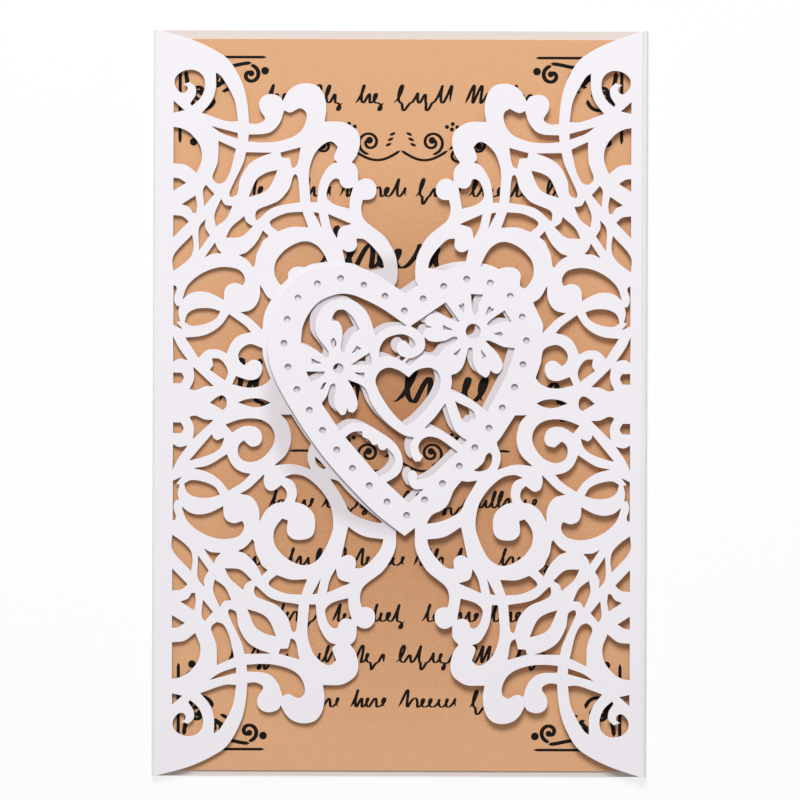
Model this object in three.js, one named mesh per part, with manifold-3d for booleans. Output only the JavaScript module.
// A laser-cut gate-fold invitation: one folded sheet of pearl card with two lace flaps, and an insert sheet.
// Units are millimetres. X runs across the card, Y up its face and Z out of its face.
import * as THREE from "three";
import { mergeVertices } from "three/addons/utils/BufferGeometryUtils.js";
import Module from "manifold-3d";

// The closed card.
const CARD_WIDTH = 120;
const CARD_HEIGHT = 181;

// The sheets, and how they lie on each other.
const WRAP_SHEET = 0.3;
const INSERT_SHEET = 0.3;
const INSERT_SIDE_MARGIN = 2.5;
const INSERT_TOP_MARGIN = 2.1;
const INSERT_BOTTOM_MARGIN = 1.4;
const REST_GAP = 0.1;
const LACE_LIFT = 0.9;
const OVERLAP_GAP = 0.4;

// The plain strip along each fold, and how far the lace stops short of the heart's axis.
const LEFT_STRIP = 4.87;
const RIGHT_STRIP = 4.1;
const LEFT_LACE_STOP = 0.5;
const RIGHT_LACE_STOP = 2.4;

// The hearts: the upper one's axis, and how far the lower one sits from it.
const HEART_WIDTH = 67;
const HEART_AXIS = 1.2;
const HEART_LIFT = 0.45;
const LOWER_HEART_X = -1.4;
const LOWER_HEART_Y = 0.9;

// The punched dots.
const DOT_COUNT = 32;
const DOT_RADIUS = 0.82;
const DOT_SIDES = 6;

// How finely curves are drawn.
const CURVE_STEPS = 6;
const CUT_TOLERANCE = 0.24;
const BEND_STEPS = 6;
const WELD = 0.02;
const JOIN_TOLERANCE = 0.01;
const CUT_REACH = 1;

// The size that the outlines below are drawn at.
const DRAWN_STRIP = 4.87;
const DRAWN_LACE_END = 59.3;
const DRAWN_HALF_HEIGHT = 90.5;
const DRAWN_HEART_WIDTH = 67;
const DRAWN_HEART_AXIS = 1.2;

// Outlines are lists of points with smooth curves between them, and C marks a sharp corner.
// On a flap, a point is its distance in from the fold and its height above the middle line.
// In a heart, a point is its place on the closed card.
const C = true;

// The inner edge of a flap, from its top corner at the fold down into the heart.
const LACE_EDGE = [
  [0.8, 90.5, C], [5, 89.6], [9, 88.3], [12.1, 86.9], [15, 85.5], [17.5, 83.9], [19.3, 81.8],
  [21.1, 78.5], [22.2, 75.5], [23, 70.9], [23.2, 67.9, C], [25, 67.75], [26.6, 68.3], [27, 69.1],
  [26.5, 70], [25.8, 71.2], [25.6, 72.5], [25.9, 73.7], [26.8, 74.6], [28.3, 75], [29.9, 74.7],
  [30.9, 74.1], [31.3, 73.3, C], [31.8, 74.3], [32.6, 75.6], [33.6, 76.6], [35, 77.3], [36.8, 77.65],
  [38.5, 77.45], [39.8, 76.9], [40.8, 75.8], [41.5, 74.3], [41.9, 72], [41.8, 70], [41.5, 68.35, C],
  [43.4, 68.5], [45.3, 68.4], [46.9, 67.9], [48.3, 67.1], [49.4, 66.1], [50, 64.75], [50.1, 63.2],
  [49.8, 61.6], [49.1, 59.8], [48.1, 58.5, C], [48.9, 57.9], [49.6, 56.5], [49.8, 55.1], [49.7, 53.9, C],
  [50.3, 54.3], [51.4, 54.6], [52.6, 54.4], [53.5, 53.7], [54.05, 52.6], [54.1, 51.3], [53.6, 50.1],
  [52.6, 49.5], [50.85, 49.4, C], [50.5, 48.4], [50.5, 46.9], [50.75, 45.7], [51.2, 44.6], [52.4, 43.6],
  [53.7, 42.7], [55.1, 41.6], [56.2, 40.4], [57.4, 38.7], [58.3, 36.9], [59, 35.2], [59.25, 33.5],
  [59.3, 31.5], [59.1, 29.5], [57, 25, C],
];

// Cuts that both halves of a flap share.
const LACE_CUTS = {
  cornerCurl: [
    [6.6, 75.3, C], [5.6, 76.2], [5.05, 77.75], [5.4, 79.1], [6.6, 80.2], [8.1, 80.7], [9.65, 80.8],
    [11, 80.25], [12, 79.2], [12.45, 77.7], [12.3, 76.1], [11.7, 74.5], [10.6, 73.1], [9.4, 72.05],
    [8.85, 72.5], [9.6, 73.6], [10.25, 75], [10.15, 76.6], [9.55, 77.45], [8.7, 77.9], [7.85, 77.75],
    [7.2, 77.3, C], [7.7, 77.1], [8.15, 76.7], [8.27, 76.2], [7.95, 75.5], [7.4, 75.2],
  ],
  stripArrow: [
    [4.87, 73.3, C], [7.5, 71, C], [4.87, 70.4, C],
  ],
  topFan: [
    [15.1, 80.15, C], [15.2, 78.5], [15, 75.85], [14.4, 73.9], [13.5, 72.4], [11.75, 70.4, C],
    [13.5, 70], [15.4, 69.25], [17.3, 68.6], [18.25, 68.3], [20.45, 68.4, C], [20.25, 70.3],
    [19.8, 72.8], [19, 74.9], [17.9, 76.8], [16.7, 78.6], [16.05, 79.6],
  ],
  shortBar: [
    [13.95, 67.2, C], [15.8, 66.75], [17.3, 66.3], [20.45, 65.5, C], [20.4, 64.1, C], [18.85, 64.65],
    [16.5, 65.5], [15, 66.4],
  ],
  stripBud: [
    [4.87, 66.95, C], [6.4, 66.7], [7.75, 66.1], [9.3, 65.1], [10.4, 63.8], [11.4, 62.1], [11.75, 60.2],
    [11.55, 58.2], [10.9, 56.45], [10.5, 55.8, C], [9.65, 56.45], [8.3, 57.5], [6.8, 58],
    [4.87, 58.1, C],
  ],
  bell: [
    [15.8, 63.6, C], [17.1, 62.9], [18.3, 62.35], [20, 61.7, C], [19.7, 60.1], [18.9, 56.8],
    [17.9, 54.7], [17.1, 53.6], [16.15, 53.05], [15, 53.6], [14.4, 54.4], [14.4, 55.1], [15, 56.45],
    [15.6, 58.55], [15.75, 60.85],
  ],
  stripDart: [
    [4.87, 54.6, C], [6.2, 54.45], [7.95, 53.4, C], [6.6, 52.4], [4.87, 51.5, C],
  ],
  smallNotch: [
    [12.8, 52.9, C], [12.15, 52.05], [12.15, 51.3], [12.35, 47.75, C], [13.5, 49.3], [14.8, 50.7, C],
    [13.85, 51.85],
  ],
  hook: [
    [10.2, 50.3, C], [6.9, 48.2, C], [7.75, 47.85], [8.7, 47.45], [9.3, 46.7], [9.6, 46.1], [10.4, 46.1],
    [10.6, 47.85], [10.4, 49.4],
  ],
  stripLeaf: [
    [4.87, 45.55, C], [6.4, 45.45], [7.75, 44.9], [8.6, 44, C], [7.2, 42.3], [4.87, 40.2, C],
  ],
  stemSlit: [
    [12.7, 44.6, C], [11.2, 42.7], [11.3, 41], [11.15, 37, C], [12.3, 38.65], [13.7, 40.65, C],
    [12.9, 41.9], [12.5, 43.25],
  ],
  stripSwoop: [
    [9.45, 40.85, C], [7.75, 38.5], [4.87, 35.5, C], [4.87, 32, C], [6.6, 33.1], [8.3, 34.65],
    [9.3, 35.8], [9.75, 37.5], [9.75, 39.05],
  ],
  smallArch: [
    [15, 38.95, C], [13.85, 36.95], [12.5, 35.3, C], [13.7, 36], [15.2, 36.3], [16.65, 36.35, C],
    [15.6, 37.5],
  ],
  fanLeft: [
    [16.45, 49.55, C], [15.6, 47.45], [14.9, 45.75], [14.8, 44.2], [15.2, 42.8, C], [16.55, 43.6],
    [17.9, 45], [18.65, 46.3], [19.2, 47.8, C], [17.7, 47.95], [16.9, 48.6],
  ],
  fanRight: [
    [22.1, 45.35, C], [20.35, 44], [18.85, 42.5], [17.95, 41.15], [17.65, 40.1, C], [19.6, 40.05],
    [21.3, 40.4], [22.65, 41.3], [24.2, 42.9, C], [23.05, 43.55], [22.3, 44.4],
  ],
  longStem: [
    [22.45, 60.85, C], [22.1, 59.1], [21.3, 57.2], [20.35, 54.9], [19.2, 52.6], [18.45, 50.7],
    [18.65, 50.05], [19.2, 49.95], [20.2, 50.5], [20.55, 51.5], [20.75, 53.4], [21.7, 55.7],
    [23.05, 57.8], [24.55, 58.95], [26.3, 59.9], [28.9, 60.75, C],
  ],
  almond: [
    [30.1, 56.55, C], [28, 56.1], [26.1, 55.2], [24.95, 54.15], [24.2, 52.45], [23.15, 50, C],
    [24.95, 50.5], [27.05, 51.4], [28.2, 52.45], [29.15, 54.15],
  ],
  branch: [
    [25.05, 44.3], [24.75, 45.15], [25.05, 46.6], [26.5, 47.45], [28.6, 48.3], [30.4, 49.1],
    [31.2, 49.8], [32.3, 51.1], [33.05, 52.25], [33.6, 53.6], [34.1, 55.4], [34.7, 55.6], [34.9, 53.95],
    [35, 52.05], [35.25, 50.15], [35.6, 48.8, C], [33.8, 48.6], [31.9, 48.1], [30.3, 47.8], [28.8, 47.3],
    [26.85, 45.9],
  ],
  forkedLeaf: [
    [35.7, 62.1, C], [33.05, 61.4], [30.85, 60.9], [30.75, 60.1], [31.15, 59.6], [33.05, 59.5],
    [33.25, 58.2], [33.55, 57.1], [34.1, 57], [34.7, 57.6], [35, 59.5], [35.35, 60.85],
  ],
  wave: [
    [23.15, 65.15, C], [25, 65.2], [27.25, 65.4], [28.8, 66], [30.1, 67.25], [31.1, 68.95],
    [31.7, 71.05, C], [32.9, 70.5], [34, 70.95], [35.55, 71.55], [36.5, 71.15], [37.1, 70.1],
    [37.1, 69.1], [36.6, 67.4], [35.75, 66.1], [34.4, 64.95], [32.9, 64.3], [30, 63.5], [28.8, 63.4],
    [26.3, 63.25], [22.95, 63.5, C],
  ],
  tallLeaf: [
    [44.7, 58.55, C], [43, 57.9], [42.25, 57], [41.1, 55.3], [40.35, 53.6], [39.95, 51.65],
    [39.7, 48.8, C], [38.15, 48.8, C], [37.85, 50.5], [37.7, 53.4], [37.75, 55.9], [38.2, 58.2],
    [39, 60.3], [39.95, 61.7], [40.7, 62.4], [41.85, 63.2], [43, 63.5], [44.15, 63], [44.7, 62.25],
    [44.5, 61.2], [43.8, 59.9], [43.95, 59.05],
  ],
  roundLeaf: [
    [44.45, 54.6], [43.4, 54.15], [42.55, 52.8], [42.1, 51.3], [42.05, 50.15], [42.65, 49.2],
    [44.15, 48.2], [45.9, 47.75], [47.55, 47.25, C], [47.7, 49.55], [48.45, 52.45, C], [47.2, 52.15],
    [46.05, 52.45], [45.3, 53.4], [45.1, 54.3],
  ],
  bridgeArch: [
    [28.3, 44], [30.05, 45.3], [31.9, 46], [33.85, 46.4], [36.2, 46.45, C], [36.6, 45.15],
    [37.6, 42.7, C], [35.75, 42.85], [33.85, 42.8], [31.9, 42.4], [30.25, 41.7, C], [29.15, 42.3],
    [28.5, 43.2],
  ],
  dart: [
    [38.85, 46.35, C], [40.1, 46.2, C], [40.9, 42.5, C], [39.55, 44.8],
  ],
  tulip: [
    [42.4, 45.95, C], [44.35, 45.15], [46.25, 44.4], [48.1, 43.55, C], [46.45, 43.15], [45.3, 42.5],
    [44.85, 41.35], [44.55, 40.05, C], [43.4, 42.1], [42.7, 44.2],
  ],
  beak: [
    [45.9, 37.4, C], [46.65, 36.95], [47.6, 36.75], [48.75, 37.15], [49.4, 38.1], [49.15, 39.25],
    [49.3, 40], [50.1, 40.15], [51.6, 39.5], [52.95, 38.3], [54.5, 36.55], [55.65, 34.65],
    [56.05, 32.95, C], [54.9, 32.9], [52.95, 32.65], [51.05, 32.05], [49.15, 31.1], [47.55, 29.9, C],
    [47, 32.85], [46.45, 35.3],
  ],
  ringSwirl: [
    [31.5, 28], [30.6, 29], [29.75, 30.6], [29.35, 32.2], [29.75, 34.3], [30.7, 35.8], [32, 37.15],
    [34.8, 38.85], [36.9, 39.3], [38.6, 38.95], [39.95, 38.1], [41, 36.9], [42.05, 35.15], [43, 32.9],
    [43.85, 30], [43.8, 28.1], [43.5, 25.8], [42.65, 23.7], [41.5, 21.8], [39.95, 20.05], [38.4, 18.7],
    [36.9, 17.75], [35.15, 17.3], [33.65, 17.3], [32, 17.95, C], [33.45, 18.45], [34.4, 19.3],
    [34.95, 21], [35.05, 22.35], [34.6, 23.9, C], [36.3, 24.35], [37.65, 25.2], [38.8, 26.35],
    [39.4, 27.7], [39.5, 29.5], [39.2, 31.5], [38.2, 32.65], [36.5, 33.1], [34.3, 33], [33.05, 32.05],
    [32.6, 30.7], [32.75, 29.3], [32.85, 28.4], [32.1, 28.05],
  ],
  star: [
    [26, 28.65, C], [26, 26.55], [25.7, 25.2], [24.95, 23.7], [23.6, 22.55], [21.25, 22, C], [23.05, 21],
    [24.95, 19.3], [27.15, 17.2, C], [26.95, 18.5], [27.15, 19.65], [27.65, 20.8], [28.6, 21.3],
    [29.55, 21.1], [30.3, 20.45], [31.1, 19.85], [32.1, 20.6], [32.6, 21.8], [32.5, 23.1], [31.9, 23.9],
    [30.3, 24.15], [29.35, 24.65], [28.2, 25.4], [27.05, 26.55], [26.4, 27.7],
  ],
  crescent: [
    [7.15, 25.1, C], [7.75, 27.15], [8.5, 28.65], [9.95, 30], [11.3, 31.1], [13.1, 32], [15, 32.7],
    [17.3, 33], [19.2, 32.8], [21, 32.2], [21.9, 31.3], [22.25, 30], [22.15, 29.2], [21.8, 28.6, C],
    [21.15, 28.85], [19.8, 29.15], [18.65, 28.85], [17.7, 28.1], [17.2, 26.55], [17.2, 25, C],
    [15.4, 26], [13.5, 26.75], [11.55, 27.05], [10.05, 26.95], [8.3, 26.15],
  ],
  eye: [
    [16.35, 22.25, C], [15, 22.8], [12.7, 23], [10.25, 22.75], [8.7, 21.95], [7.95, 20.8], [7.7, 19.6],
    [8.4, 18.95], [10.2, 18.75], [12.7, 19.2], [14.45, 19.95], [15.6, 20.8],
  ],
  stripFern: [
    [4.97, 28.55, C], [5.55, 28.3], [5.75, 27.6], [5.35, 26.55], [5.15, 25.2], [5.45, 23.9], [5.9, 23.4],
    [6.4, 23.6, C], [6.15, 22.35], [6.3, 20.8], [6.6, 19.75, C], [5.75, 19.65, C], [6.2, 18.9],
    [7.15, 17.9, C], [5.85, 18.25], [4.97, 18.9, C],
  ],
  stripTriangle: [
    [4.9, 16.2, C], [5.65, 14.5], [7, 12.4], [8.5, 10.35, C], [7, 10.7], [5.85, 10.6], [4.97, 10, C],
  ],
  stripSquare: [
    [4.97, 7.35, C], [5.85, 7.15], [6.8, 7.35], [7.45, 6.75], [7.45, 5.7], [7, 4.85], [6, 4.55],
    [4.97, 4.75, C],
  ],
  thorn: [
    [9.85, 8.75, C], [11.2, 7.45], [12.7, 5.9], [14.8, 4.1, C], [12.7, 4], [11.2, 3.5], [10.05, 3.05],
    [8.9, 3.5], [9.65, 4.55], [10.05, 6.1], [9.95, 7.6],
  ],
};

// Cuts beside the heart in the upper half only.
const UPPER_CUTS = {
  upperPetal: [
    [7.85, 15.85, C], [10.05, 16.05], [11.95, 16.3], [13.85, 17], [15.8, 18.25], [17.1, 19.5],
    [17.9, 20.65], [18.45, 21.6, C], [20, 20.35], [21.9, 19.1], [22.85, 18.35], [23.8, 17.2, C],
    [22.3, 16.9], [20.95, 16.4], [19.8, 15.55], [19, 14.5], [18.45, 13.35], [17.9, 12, C], [17.1, 12.5],
    [15.8, 12.95], [14.45, 13.05], [13.1, 12.8], [12.15, 12.1], [11.1, 10.95, C], [9.65, 13.15],
  ],
  upperTooth: [
    [14.35, 10.85, C], [16.15, 10.7], [17.5, 9.35], [18.15, 7.8], [18.15, 6.85], [17.6, 5.4, C],
    [16.15, 6.45], [13.85, 8.05, C], [14.5, 8.9], [14.6, 9.8],
  ],
  upperSwirl: [
    [26.7, 13.3, C], [25.3, 13.95], [23.8, 14.35], [22.3, 13.75], [21.15, 12.8], [20.75, 11.65],
    [20.85, 10.7], [21.4, 9.7], [22.3, 9.15], [22.75, 9.55], [23.25, 10.2], [24.4, 10.5], [25.55, 10.3],
    [26.3, 9.6], [26.6, 8.55], [26.4, 7.45], [25.9, 6.45], [24.95, 5.8], [23.45, 5.6], [21.9, 5.8],
    [20.2, 6.55, C], [19.3, 4.55, C], [21.15, 4.1], [23.05, 3.75], [24.95, 3.85], [26.7, 4.35],
    [28, 5.2], [29, 6.55, C], [28.2, 8.4], [27.6, 10.4], [27.2, 12.6],
  ],
};

// Cuts beside the heart in the lower half, and the two on the middle line.
const LOWER_CUTS = {
  lowerPetal: [
    [9.95, 15.85, C], [11.95, 16.3], [13.85, 17], [15.8, 18.25], [17.1, 19.5], [17.9, 20.65],
    [18.45, 21.3, C], [20, 20.35], [21.9, 19.1], [22.85, 18.3], [23.8, 17.2, C], [22.3, 16.9],
    [20.95, 16.4], [19.8, 15.55], [19, 14.5], [18.45, 13.35], [18.05, 12.4, C], [15.8, 13.75],
    [13.5, 15.1], [11.6, 15.7],
  ],
  lowerTooth: [
    [8.9, 14, C], [11.2, 13.45], [13.5, 12.6], [15.4, 11.75], [16.55, 10.7], [17.1, 9.55],
    [17.4, 8.4, C], [16.55, 8.95], [15.6, 9.05], [14.7, 8.4], [14.45, 7.5, C], [13.1, 9.15],
    [11.2, 11.05], [10.05, 12.6],
  ],
  lowerSwirl: [
    [23.8, 14.3], [25.55, 13.95], [27.25, 12.8], [28.6, 11.25], [29.35, 9.7], [29.65, 8.2],
    [29.35, 6.65], [28.4, 5.3], [26.85, 4.25], [24.95, 3.8], [23.05, 3.7], [21.15, 4], [19.2, 4.55],
    [17.7, 5.2, C], [18.65, 6.1], [19.3, 7.15, C], [20.75, 6.2], [22.3, 5.6], [24, 5.6], [25.35, 6],
    [26.3, 7.05], [26.6, 8.4], [26.3, 9.6], [25.35, 10.4], [24.2, 10.6], [23.05, 10], [22.3, 9.05],
    [21.3, 9.7], [20.75, 10.85], [20.75, 12.2], [21.3, 13.35], [22.5, 14.1],
  ],
  heartSide: [
    [31.05, 2.75, C], [32.3, 4], [33.15, 5.7], [33.65, 8], [33.45, 9.9], [32.85, 11.7], [31.7, 13.3],
    [30.4, 14.5], [29.55, 15.1, C], [32, 14.7], [34.3, 14.8], [36.5, 15.3], [38.4, 16, C], [37.75, 14.3],
    [37.6, 12.4], [37.9, 10.6], [38.6, 9.1, C], [36.6, 2.8, C],
  ],
  middleDrop: [
    [13.9, -0.1, C], [15, -0.95], [16, -1.65], [16.9, -1.85], [17.6, -1.4], [17.95, -0.3], [17.8, 0.9],
    [17.1, 1.7], [16.3, 1.35], [15.3, 0.7],
  ],
  middleLens: [
    [20.7, -0.1, C], [22.3, -0.8], [24.6, -1.15], [26.8, -0.9], [28.6, -0.1, C], [26.8, 0.7], [24.6, 1],
    [22.3, 0.6],
  ],
};

// Half of the heart's outline, measured from its own upright axis.
const HEART_HALF = [
  [0, -32.1, C], [3.4, -29.3], [6.8, -26.8], [10.9, -22.8], [15.1, -18.4], [18.8, -14.1], [22.4, -9.4],
  [26.1, -3.9], [29, 0.9], [31.2, 5], [32.7, 9], [33.4, 13], [33.5, 16.5], [33, 19.8], [31.9, 23.2],
  [30, 26.5], [27.4, 29.4], [24.2, 31.7], [20.2, 33.2], [16.4, 33.65], [12.4, 33.3], [8.9, 32.2],
  [5.6, 30.5], [2.7, 28.5], [0, 26.7, C],
];

// Half of the line that the punched dots follow.
const DOT_PATH_HALF = [
  [0.5, -27.1], [4.3, -23.8], [8.7, -19.8], [12.8, -15.6], [16.8, -10.9], [20.4, -5.9], [23.6, -1],
  [26.4, 3.7], [28.5, 9.2], [29.4, 15.2], [28.5, 20.7], [26.1, 25.4], [21.5, 28.9], [16, 30.3],
  [10.4, 28.9], [5.2, 26.2], [0.8, 22.3],
];

// Openings in the heart.
const HEART_CUTS = {
  budCrescent: [
    [1.6, 18.9, C], [-4.2, 22.9], [-8.9, 25.3], [-11.5, 26.3], [-14, 26.6], [-16.8, 26.05],
    [-19.6, 24.7], [-21.6, 22.6], [-23, 20.3], [-23.9, 17.4], [-24.1, 14.5, C], [-22, 13.75],
    [-20, 12.8], [-18.5, 11.6], [-17.7, 11.1], [-17.2, 11.9], [-18.1, 13.4], [-19.3, 15], [-20.3, 16.7],
    [-20.6, 18.8], [-20.3, 20.8], [-19.5, 22.4], [-18, 24], [-16, 25], [-13.5, 25.4], [-11.8, 25.1],
    [-10.4, 24.3], [-9, 23.2], [-7.9, 21.8], [-7.1, 20], [-6.5, 18.2], [-6, 16.5, C], [-4.6, 17.6],
    [-2.9, 18.5], [-1, 18.95],
  ],
  budHook: [
    [-16.6, 20.1, C], [-16.3, 21.3], [-15.5, 22.4], [-14.4, 22.75], [-13, 22.4], [-11.6, 21],
    [-10.6, 19.4], [-9.9, 18, C], [-11.4, 17.1], [-12.4, 15.4], [-13.2, 13.9], [-13.5, 12.6],
    [-14.1, 12.3], [-14.35, 12.9], [-14.1, 15], [-14, 17.3], [-14.4, 18.9], [-15.1, 19.9],
  ],
  budSlit: [
    [-16, 15.9], [-15.5, 15.2], [-15.75, 13.7], [-16.25, 13.4], [-16.8, 14.2], [-16.7, 15.4],
  ],
  budSpark: [
    [-21.5, 10.9, C], [-20.7, 10.55], [-19, 9.75, C], [-21.4, 9.6, C],
  ],
  budLeaf: [
    [-10.5, 14, C], [-9.4, 13.3, C], [-10.6, 12.8], [-11.8, 12.1, C], [-11.3, 13.2],
  ],
  starPetalTop: [
    [-11.9, 9.4, C], [-9.8, 10.6], [-7.5, 12.3, C], [-7, 10.9], [-7, 9.4, C],
  ],
  starPetalLeft: [
    [-22.75, 7.7, C], [-20.5, 7.55], [-18.3, 7.8], [-18.5, 7], [-20.1, 6.1], [-21.7, 5.2, C],
  ],
  starSlit: [
    [-17.85, 5.15], [-18.2, 4.2], [-19, 3.2], [-19.4, 3.4], [-18.9, 4.4], [-18.3, 5.1],
  ],
  starSpeck: [
    [-11.2, 7.5, C], [-8.6, 7.45, C], [-8.7, 6.2, C], [-9.6, 6.5],
  ],
  longArm: [
    [-19, 0, C], [-17.9, 1.5], [-17.2, 3.2], [-16.6, 4.7], [-15.8, 4.8], [-15.65, 3.4], [-16, 1],
    [-15.9, -0.6], [-15.3, -1.9], [-14.7, -2.6], [-14, -2.9], [-13.3, -2.6], [-13, -2, C],
    [-12.8, -1.1, C], [-12.6, -1.9], [-11.7, -2.35], [-10.9, -1.9], [-10.35, -0.8], [-10.3, 0.6],
    [-10.8, 2.2], [-11.5, 3.8], [-12.2, 5], [-12.7, 5.8, C], [-10.9, 4.9], [-8.7, 3.9, C], [-7.8, 1.6],
    [-6.5, -0.7], [-4.8, -3], [-2.7, -5.1], [-0.1, -7], [2, -8.1], [3.4, -8.2, C], [2.6, -9.6],
    [2.5, -11], [2.7, -12.4], [3.3, -13.7], [4.3, -14.25], [5.2, -13.8], [5.6, -12.9], [5.3, -12.1],
    [4.75, -11.7, C], [4.5, -10.5], [5, -9.2], [6, -8.3], [7.3, -8], [8.8, -8.2], [10.5, -9.1],
    [12.4, -10.3], [14, -11.65, C], [11.5, -14.2], [9.4, -16.1], [7.4, -17.5], [5.5, -18.3],
    [4.15, -18.4, C], [4.3, -17.5], [3.9, -16.6], [3.1, -16.2], [2.3, -16.6], [1.9, -17.5], [2.1, -18.7],
    [2.6, -19.9], [3.3, -20.6], [4.4, -20.8], [5.8, -20.7, C], [3.9, -22.5], [2.2, -24.1, C],
    [0.5, -22.7], [-1.2, -21.1], [-3.25, -19.1, C], [-1.6, -18.2], [-0.1, -16.9], [0.6, -15.4],
    [0.7, -13.6], [0.3, -12.1], [-0.3, -10.8], [-1.2, -9.6], [-2.5, -8.5], [-3.7, -7.9], [-5, -6.8],
    [-6.8, -5.8], [-9, -4.8], [-11.2, -4.7], [-13, -5.3], [-14.6, -6.6, C], [-16.6, -4],
  ],
  lowerLeftPetal: [
    [-13.25, -8.2, C], [-11.9, -7.15], [-10.3, -6.7], [-9.2, -6.75, C], [-9.3, -7.6], [-8.8, -8.3],
    [-8, -8.4], [-7.5, -8.8, C], [-7.2, -9.6], [-6.5, -10.1], [-5.7, -10.1], [-5.35, -9.9, C],
    [-5.1, -10.8], [-4.4, -11.3], [-3.6, -11.2], [-3.1, -10.7, C], [-2.2, -11.6], [-1.4, -12.9],
    [-1.25, -14.3], [-2, -15.7], [-3.3, -16.9], [-4.95, -17.8, C], [-6.1, -16.4], [-8.6, -13.5],
    [-11, -10.8],
  ],
  smallHeart: [
    [1.5, -5.5, C], [-0.9, -3.2], [-2.5, -1.3], [-4, 0.9], [-5.2, 3.1], [-5.95, 5.3], [-5.5, 7],
    [-4.4, 8.2], [-2.9, 8.7], [-1.2, 8.4], [0.5, 7.6], [2.1, 6.4, C], [3.2, 7.6], [4.9, 8.4],
    [6.7, 8.75], [8.2, 8.4], [9.3, 7.4], [9.8, 5.9], [9.6, 4], [8.6, 1.8], [7, -0.5], [5.1, -2.6],
    [3.3, -4.3],
  ],
  curlBesideHeart: [
    [-5.1, 11.3, C], [-5.1, 12.6], [-4.7, 14], [-3.9, 15.3], [-2.6, 16.2], [-1, 16.6], [0.6, 16.8],
    [2, 16.4], [3.1, 15.5], [3.65, 14.3], [3.3, 13.4], [2.6, 13.3], [2.1, 14], [1.5, 15], [0.5, 15.3],
    [-0.4, 14.8], [-0.9, 13.7], [-0.7, 12.5], [0.2, 11.6], [1.4, 11.1, C], [0.4, 10.3, C], [-1.2, 11],
    [-3.3, 11.6],
  ],
  wedgeUpperLeft: [
    [2.5, 18.8, C], [4.3, 20.1], [7.2, 22.1], [10.1, 23.9], [11, 24.6, C], [11.6, 23.7], [12.4, 22.4],
    [13.6, 21.1], [14.4, 20.1], [13.8, 19.8], [12.6, 20.4], [10.6, 21.4], [8.8, 21.9], [7.4, 21.7],
    [6.4, 21], [5.9, 20.2], [6.1, 19.3], [7.8, 18.5, C], [6.3, 18.3], [5.6, 17.5], [5.3, 16.5, C],
    [4.5, 17.6], [3.5, 18.2],
  ],
  wedgeTop: [
    [17.1, 26.6, C], [20.1, 26.5, C], [19.5, 25.5], [18.9, 23.8], [18.6, 21.9], [18.1, 21.5], [17.7, 22],
    [17.6, 24], [17.4, 25.3],
  ],
  wedgeRight: [
    [25.3, 22.7, C], [26.2, 21.3], [27, 19.9, C], [25, 20], [23, 19.5], [21.5, 19], [21, 19.3],
    [21.4, 19.9], [22.5, 20.5], [24, 21.6],
  ],
  wedgeLowerLeft: [
    [5.9, 16.2, C], [6.5, 15.5], [7.6, 15.1], [9.2, 15], [10.8, 15.3], [12.2, 15.9], [13.4, 16.3],
    [14, 15.9], [13.6, 15.3], [12.2, 14.5], [10.8, 13.6], [9.8, 12.5], [9, 11.6, C], [7.8, 11.8],
    [6.4, 12], [5.2, 11.5], [3.6, 10.2], [2.2, 9.1, C], [1.2, 10, C], [2.1, 10.9], [3.4, 11.2],
    [4.6, 12.1], [5.6, 12.8, C], [6.05, 14], [5.9, 15.2],
  ],
  wedgeBelow: [
    [21.1, 15.4], [23.2, 14.5], [25.2, 13.8], [27.8, 13.55, C], [27.3, 11.2], [26.3, 8.4], [24.9, 5.3],
    [23.3, 2.2], [21.2, -1.9, C], [19.9, -0.7], [16.5, 1.5], [12.3, 3.45, C], [12.6, 5.2],
    [12.4, 6.9, C], [14, 7.6], [15.2, 9], [15.9, 10.6], [16.3, 12.2], [16.6, 13.6, C], [17.5, 13.6, C],
    [17.6, 11], [17.9, 9.3], [18.6, 7.9], [19.6, 6.9], [20.7, 6.3], [21.5, 6.9], [21.9, 8.1, C],
    [22.6, 7.55], [23.6, 7.3], [24.4, 8], [24.9, 9.3], [24.6, 10.6], [23.7, 12.1], [22.5, 13.5],
    [21.2, 14.5], [20.6, 15.1],
  ],
  leafUpperLeft: [
    [14.25, 24.1, C], [14.8, 23.9, C], [15.25, 24.5], [15.6, 23.2], [15.5, 22, C], [14.8, 22.7],
    [14.3, 23.4],
  ],
  leafUpperRight: [
    [21.8, 23.7], [22, 23.1, C], [22.7, 23.1], [22, 22.2], [20.7, 21.5, C], [20.9, 22.4], [21.2, 23.2],
  ],
  leafRight: [
    [22.6, 17, C], [23.6, 17.4], [24.6, 17.45], [24.9, 17], [24.7, 16.4], [23.8, 16.5],
  ],
  leafLeft: [
    [10.4, 19.1, C], [11.6, 18.5], [12.8, 17.9, C], [11.5, 17.75], [10.4, 17.9, C],
  ],
  leafLowerLeft: [
    [14.8, 13.5, C], [14.3, 12.4], [13.7, 11.5, C], [12.9, 12.1, C], [13.8, 13],
  ],
  leafLowerRight: [
    [19.6, 13.2, C], [20.3, 12.2], [20.9, 11.5, C], [20, 10.8, C], [19.6, 12],
  ],
  raysLeft: [
    [10.95, 0.1, C], [11.6, -1.9], [12.3, -4], [13.2, -6.2], [14.5, -7.7], [16.2, -8.8, C],
    [15.2, -10, C], [13.7, -8.8], [12, -7.6], [10, -6.4], [8.2, -5.7], [6.8, -5.7], [5.9, -6, C],
    [7.4, -4.5], [9.2, -2.4],
  ],
  dropRight: [
    [13.35, 0.6, C], [15.2, -0.35], [17, -1.1], [18, -2.1], [18.35, -3.1], [17.9, -3.7],
    [17.2, -3.55, C], [17, -4.2], [16.2, -4.65], [15.5, -4.3], [15, -3.7], [14.3, -2.2],
  ],
};

const wasm = await Module();
wasm.setup();
const { Manifold, Mesh } = wasm;

// Curves through chosen points

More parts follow.
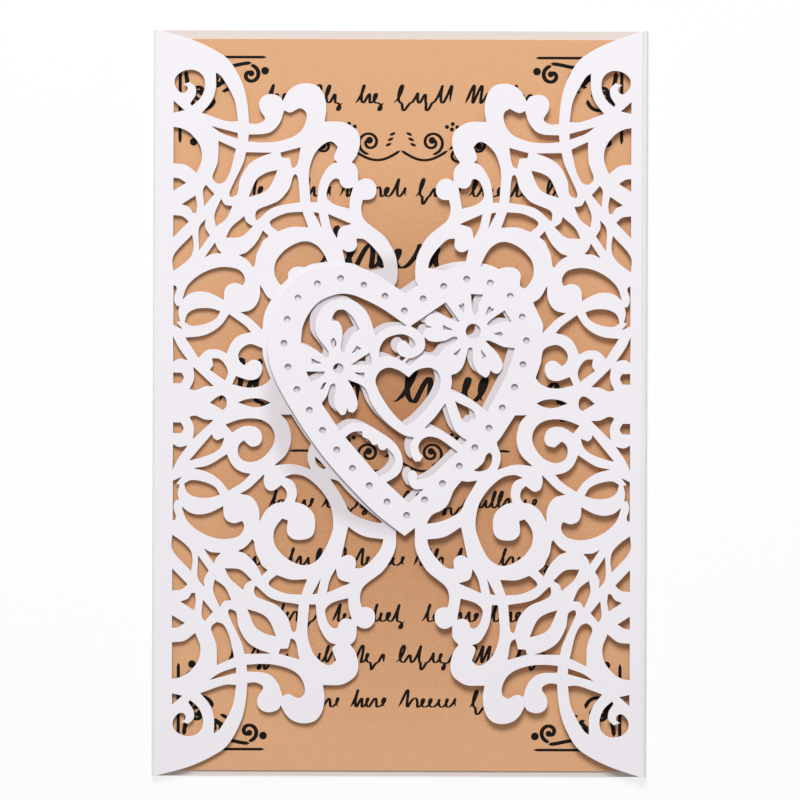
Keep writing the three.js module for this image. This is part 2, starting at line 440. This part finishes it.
function curveBetween(points, closed) {
  const path = new THREE.CatmullRomCurve3(
    points.map(([x, y]) => new THREE.Vector3(x, y, 0)), closed, "centripetal",
  );
  const steps = (points.length - (closed ? 0 : 1)) * CURVE_STEPS;
  return path.getPoints(steps).slice(0, -1).map((p) => [p.x, p.y]);
}

function withoutSpares(points, tolerance) {
  if (points.length < 3) return points;
  const first = new THREE.Vector2(...points[0]);
  const last = new THREE.Vector2(...points.at(-1));
  const along = last.clone().sub(first);
  const length = along.length();
  let farthest = 0;
  let split = 0;
  for (let i = 1; i < points.length - 1; i += 1) {
    const offset = new THREE.Vector2(...points[i]).sub(first);
    const distance = length > 0 ? Math.abs(along.cross(offset)) / length : offset.length();
    if (distance > farthest) {
      farthest = distance;
      split = i;
    }
  }
  if (farthest <= tolerance) return [points[0], points.at(-1)];
  const before = withoutSpares(points.slice(0, split + 1), tolerance);
  const after = withoutSpares(points.slice(split), tolerance);
  return [...before.slice(0, -1), ...after];
}

function closedOutline(points) {
  const corners = points.flatMap(([, , corner], i) => (corner ? [i] : []));
  if (corners.length === 0) {
    const ring = curveBetween(points, true);
    const half = Math.floor(ring.length / 2);
    const firstHalf = withoutSpares(ring.slice(0, half + 1), CUT_TOLERANCE);
    const secondHalf = withoutSpares([...ring.slice(half), ring[0]], CUT_TOLERANCE);
    return [...firstHalf.slice(0, -1), ...secondHalf.slice(0, -1)];
  }
  const turned = [...points.slice(corners[0]), ...points.slice(0, corners[0] + 1)];
  const outline = [];
  let run = [turned[0]];
  for (const point of turned.slice(1)) {
    run.push(point);
    if (point[2]) {
      const end = [point[0], point[1]];
      const curve = run.length > 2 ? [...curveBetween(run, false), end] : run.map(([x, y]) => [x, y]);
      outline.push(...withoutSpares(curve, CUT_TOLERANCE).slice(0, -1));
      run = [point];
    }
  }
  return outline;
}

function mirroredOutline(half) {
  const other = half.slice(1, -1).reverse().map(([x, y, corner]) => [-x, y, corner]);
  return [...half, ...other];
}

// Where things lie, worked out from the sizes above

const insertUnderside = WRAP_SHEET + REST_GAP;
const leftFlapUnderside = insertUnderside + INSERT_SHEET + LACE_LIFT;
const rightFlapUnderside = leftFlapUnderside + WRAP_SHEET + OVERLAP_GAP;
const halfWidth = CARD_WIDTH / 2;
const halfHeight = CARD_HEIGHT / 2;
const heartScale = HEART_WIDTH / DRAWN_HEART_WIDTH;

const leftFlap = {
  side: -1,
  strip: LEFT_STRIP,
  underside: leftFlapUnderside,
  axis: HEART_AXIS + LOWER_HEART_X,
  heartRise: LOWER_HEART_Y,
  laceStop: LEFT_LACE_STOP,
};
const rightFlap = {
  side: 1,
  strip: RIGHT_STRIP,
  underside: rightFlapUnderside,
  axis: HEART_AXIS,
  heartRise: 0,
  laceStop: RIGHT_LACE_STOP,
};

const bendRadius = (flap) => (flap.underside + WRAP_SHEET) / 2;

// The lace of one flap, with its cuts mirrored about the middle line

function onFlap(flap, half) {
  const reach = halfWidth - flap.side * flap.axis - flap.laceStop - flap.strip;
  const stretch = reach / (DRAWN_LACE_END - DRAWN_STRIP);
  return ([u, v, corner]) => {
    const inward = flap.strip + (u - DRAWN_STRIP) * stretch;
    return [flap.side * (halfWidth - inward), half * v * (halfHeight / DRAWN_HALF_HEIGHT), corner];
  };
}

function laceOutline(flap) {
  const upper = LACE_EDGE.map(onFlap(flap, 1));
  const lower = LACE_EDGE.map(onFlap(flap, -1)).reverse();
  const foldSide = flap.side * (halfWidth - bendRadius(flap) + WELD);
  const start = [foldSide, halfHeight, C];
  const end = [foldSide, -halfHeight, C];
  const outline = [start, ...upper.slice(1), ...lower.slice(0, -1), end];
  return closedOutline(outline);
}

function laceCuts(flap) {
  const upper = { ...LACE_CUTS, ...UPPER_CUTS };
  const lower = { ...LACE_CUTS, ...LOWER_CUTS };
  return [
    ...Object.values(upper).map((cut) => closedOutline(cut.map(onFlap(flap, 1)))),
    ...Object.values(lower).map((cut) => closedOutline(cut.map(onFlap(flap, -1)))),
  ];
}

// The heart at the end of each flap

function heartPlace(flap) {
  return ([x, y, corner]) => [flap.axis + x * heartScale, flap.heartRise + y * heartScale, corner];
}

function dottedLine(flap) {
  const half = DOT_PATH_HALF.slice(1, -1);
  const ring = [
    DOT_PATH_HALF[0], ...half, DOT_PATH_HALF.at(-1), ...half.map(([x, y]) => [-x, y]).reverse(),
  ].map(heartPlace(flap));
  const path = new THREE.CatmullRomCurve3(
    ring.map(([x, y]) => new THREE.Vector3(x, y, 0)), true, "centripetal",
  );
  return path.getSpacedPoints(DOT_COUNT).slice(0, -1);
}

function dotOutline(centre) {
  return Array.from({ length: DOT_SIDES }, (_, i) => {
    const angle = ((i + 0.5) / DOT_SIDES) * 2 * Math.PI;
    return [centre.x + DOT_RADIUS * Math.cos(angle), centre.y + DOT_RADIUS * Math.sin(angle)];
  });
}

function heartOutline(flap) {
  return closedOutline(mirroredOutline(HEART_HALF).map(heartPlace(flap)));
}

function heartOpenings(flap) {
  const place = heartPlace(flap);
  const cuts = Object.values(HEART_CUTS).map((cut) => closedOutline(
    cut.map(([x, y, corner]) => place([x - DRAWN_HEART_AXIS, y, corner])),
  ));
  return [...cuts, ...dottedLine(flap).map(dotOutline)];
}

// Outlines made into sheets, and into the deeper shapes that cut them

function solidOf(geometry) {
  geometry.deleteAttribute("normal");
  geometry.deleteAttribute("uv");
  const merged = mergeVertices(geometry, 1e-5);
  return new Manifold(new Mesh({
    numProp: 3,
    vertProperties: merged.attributes.position.array,
    triVerts: new Uint32Array(merged.index.array),
  }));
}

function geometryOf(solid) {
  const mesh = solid.getMesh();
  const geometry = new THREE.BufferGeometry();
  geometry.setAttribute("position", new THREE.BufferAttribute(mesh.vertProperties, 3));
  geometry.setIndex(new THREE.BufferAttribute(mesh.triVerts, 1));
  const flat = geometry.toNonIndexed();
  flat.computeVertexNormals();
  return flat;
}

function prism(outline, underside, depth) {
  const shape = new THREE.Shape(outline.map(([x, y]) => new THREE.Vector2(x, y)));
  const geometry = new THREE.ExtrudeGeometry(shape, { depth, bevelEnabled: false });
  geometry.translate(0, 0, underside);
  return solidOf(geometry);
}

function flapSheet(flap) {
  const plate = (outline) => prism(outline, flap.underside, WRAP_SHEET);
  const cutter = (outline) => prism(outline, flap.underside - CUT_REACH, WRAP_SHEET + 2 * CUT_REACH);
  const heart = heartOutline(flap);
  const sheet = plate(laceOutline(flap)).add(plate(heart));
  const laceOpenings = Manifold.union(laceCuts(flap).map(cutter)).subtract(cutter(heart));
  const openings = Manifold.union(heartOpenings(flap).map(cutter));
  return sheet.subtract(laceOpenings).subtract(openings).asOriginal().simplify(JOIN_TOLERANCE);
}

// The fold: a half-round turn of the sheet, drawn as seen along Y
function foldSheet(flap) {
  const radius = bendRadius(flap);
  const centre = flap.side * (halfWidth - radius);
  const arc = (size) => Array.from({ length: BEND_STEPS + 1 }, (_, i) => {
    const angle = (i / BEND_STEPS - 0.5) * Math.PI;
    return new THREE.Vector2(centre + flap.side * size * Math.cos(angle), radius + size * Math.sin(angle));
  });
  const shape = new THREE.Shape([...arc(radius), ...arc(radius - WRAP_SHEET).reverse()]);
  const geometry = new THREE.ExtrudeGeometry(shape, { depth: CARD_HEIGHT, bevelEnabled: false });
  geometry.rotateX(Math.PI / 2);
  geometry.translate(0, halfHeight, 0);
  return solidOf(geometry);
}

function backPanel() {
  const left = -halfWidth + bendRadius(leftFlap) - WELD;
  const right = halfWidth - bendRadius(rightFlap) + WELD;
  const geometry = new THREE.BoxGeometry(right - left, CARD_HEIGHT, WRAP_SHEET);
  geometry.translate((left + right) / 2, 0, WRAP_SHEET / 2);
  return solidOf(geometry);
}

function laceWrap() {
  const flaps = [leftFlap, rightFlap];
  const wrap = Manifold.union([backPanel(), ...flaps.map(foldSheet), ...flaps.map(flapSheet)]);
  const material = new THREE.MeshStandardMaterial({ color: 0xf0ecf2, roughness: 0.42, metalness: 0.0 });
  const mesh = new THREE.Mesh(geometryOf(wrap), material);
  mesh.name = "lace_wrap";
  return mesh;
}

function insertSheet() {
  const width = CARD_WIDTH - 2 * INSERT_SIDE_MARGIN;
  const height = CARD_HEIGHT - INSERT_TOP_MARGIN - INSERT_BOTTOM_MARGIN;
  const geometry = new THREE.BoxGeometry(width, height, INSERT_SHEET);
  const material = new THREE.MeshStandardMaterial({ color: 0xdeaa7d, roughness: 0.4, metalness: 0.15 });
  const mesh = new THREE.Mesh(geometry, material);
  mesh.position.set(0, (INSERT_BOTTOM_MARGIN - INSERT_TOP_MARGIN) / 2, insertUnderside + INSERT_SHEET / 2);
  mesh.name = "insert_sheet";
  return mesh;
}

const card = new THREE.Group();
card.name = "invitation_card";
card.add(laceWrap(), insertSheet());

export default card;
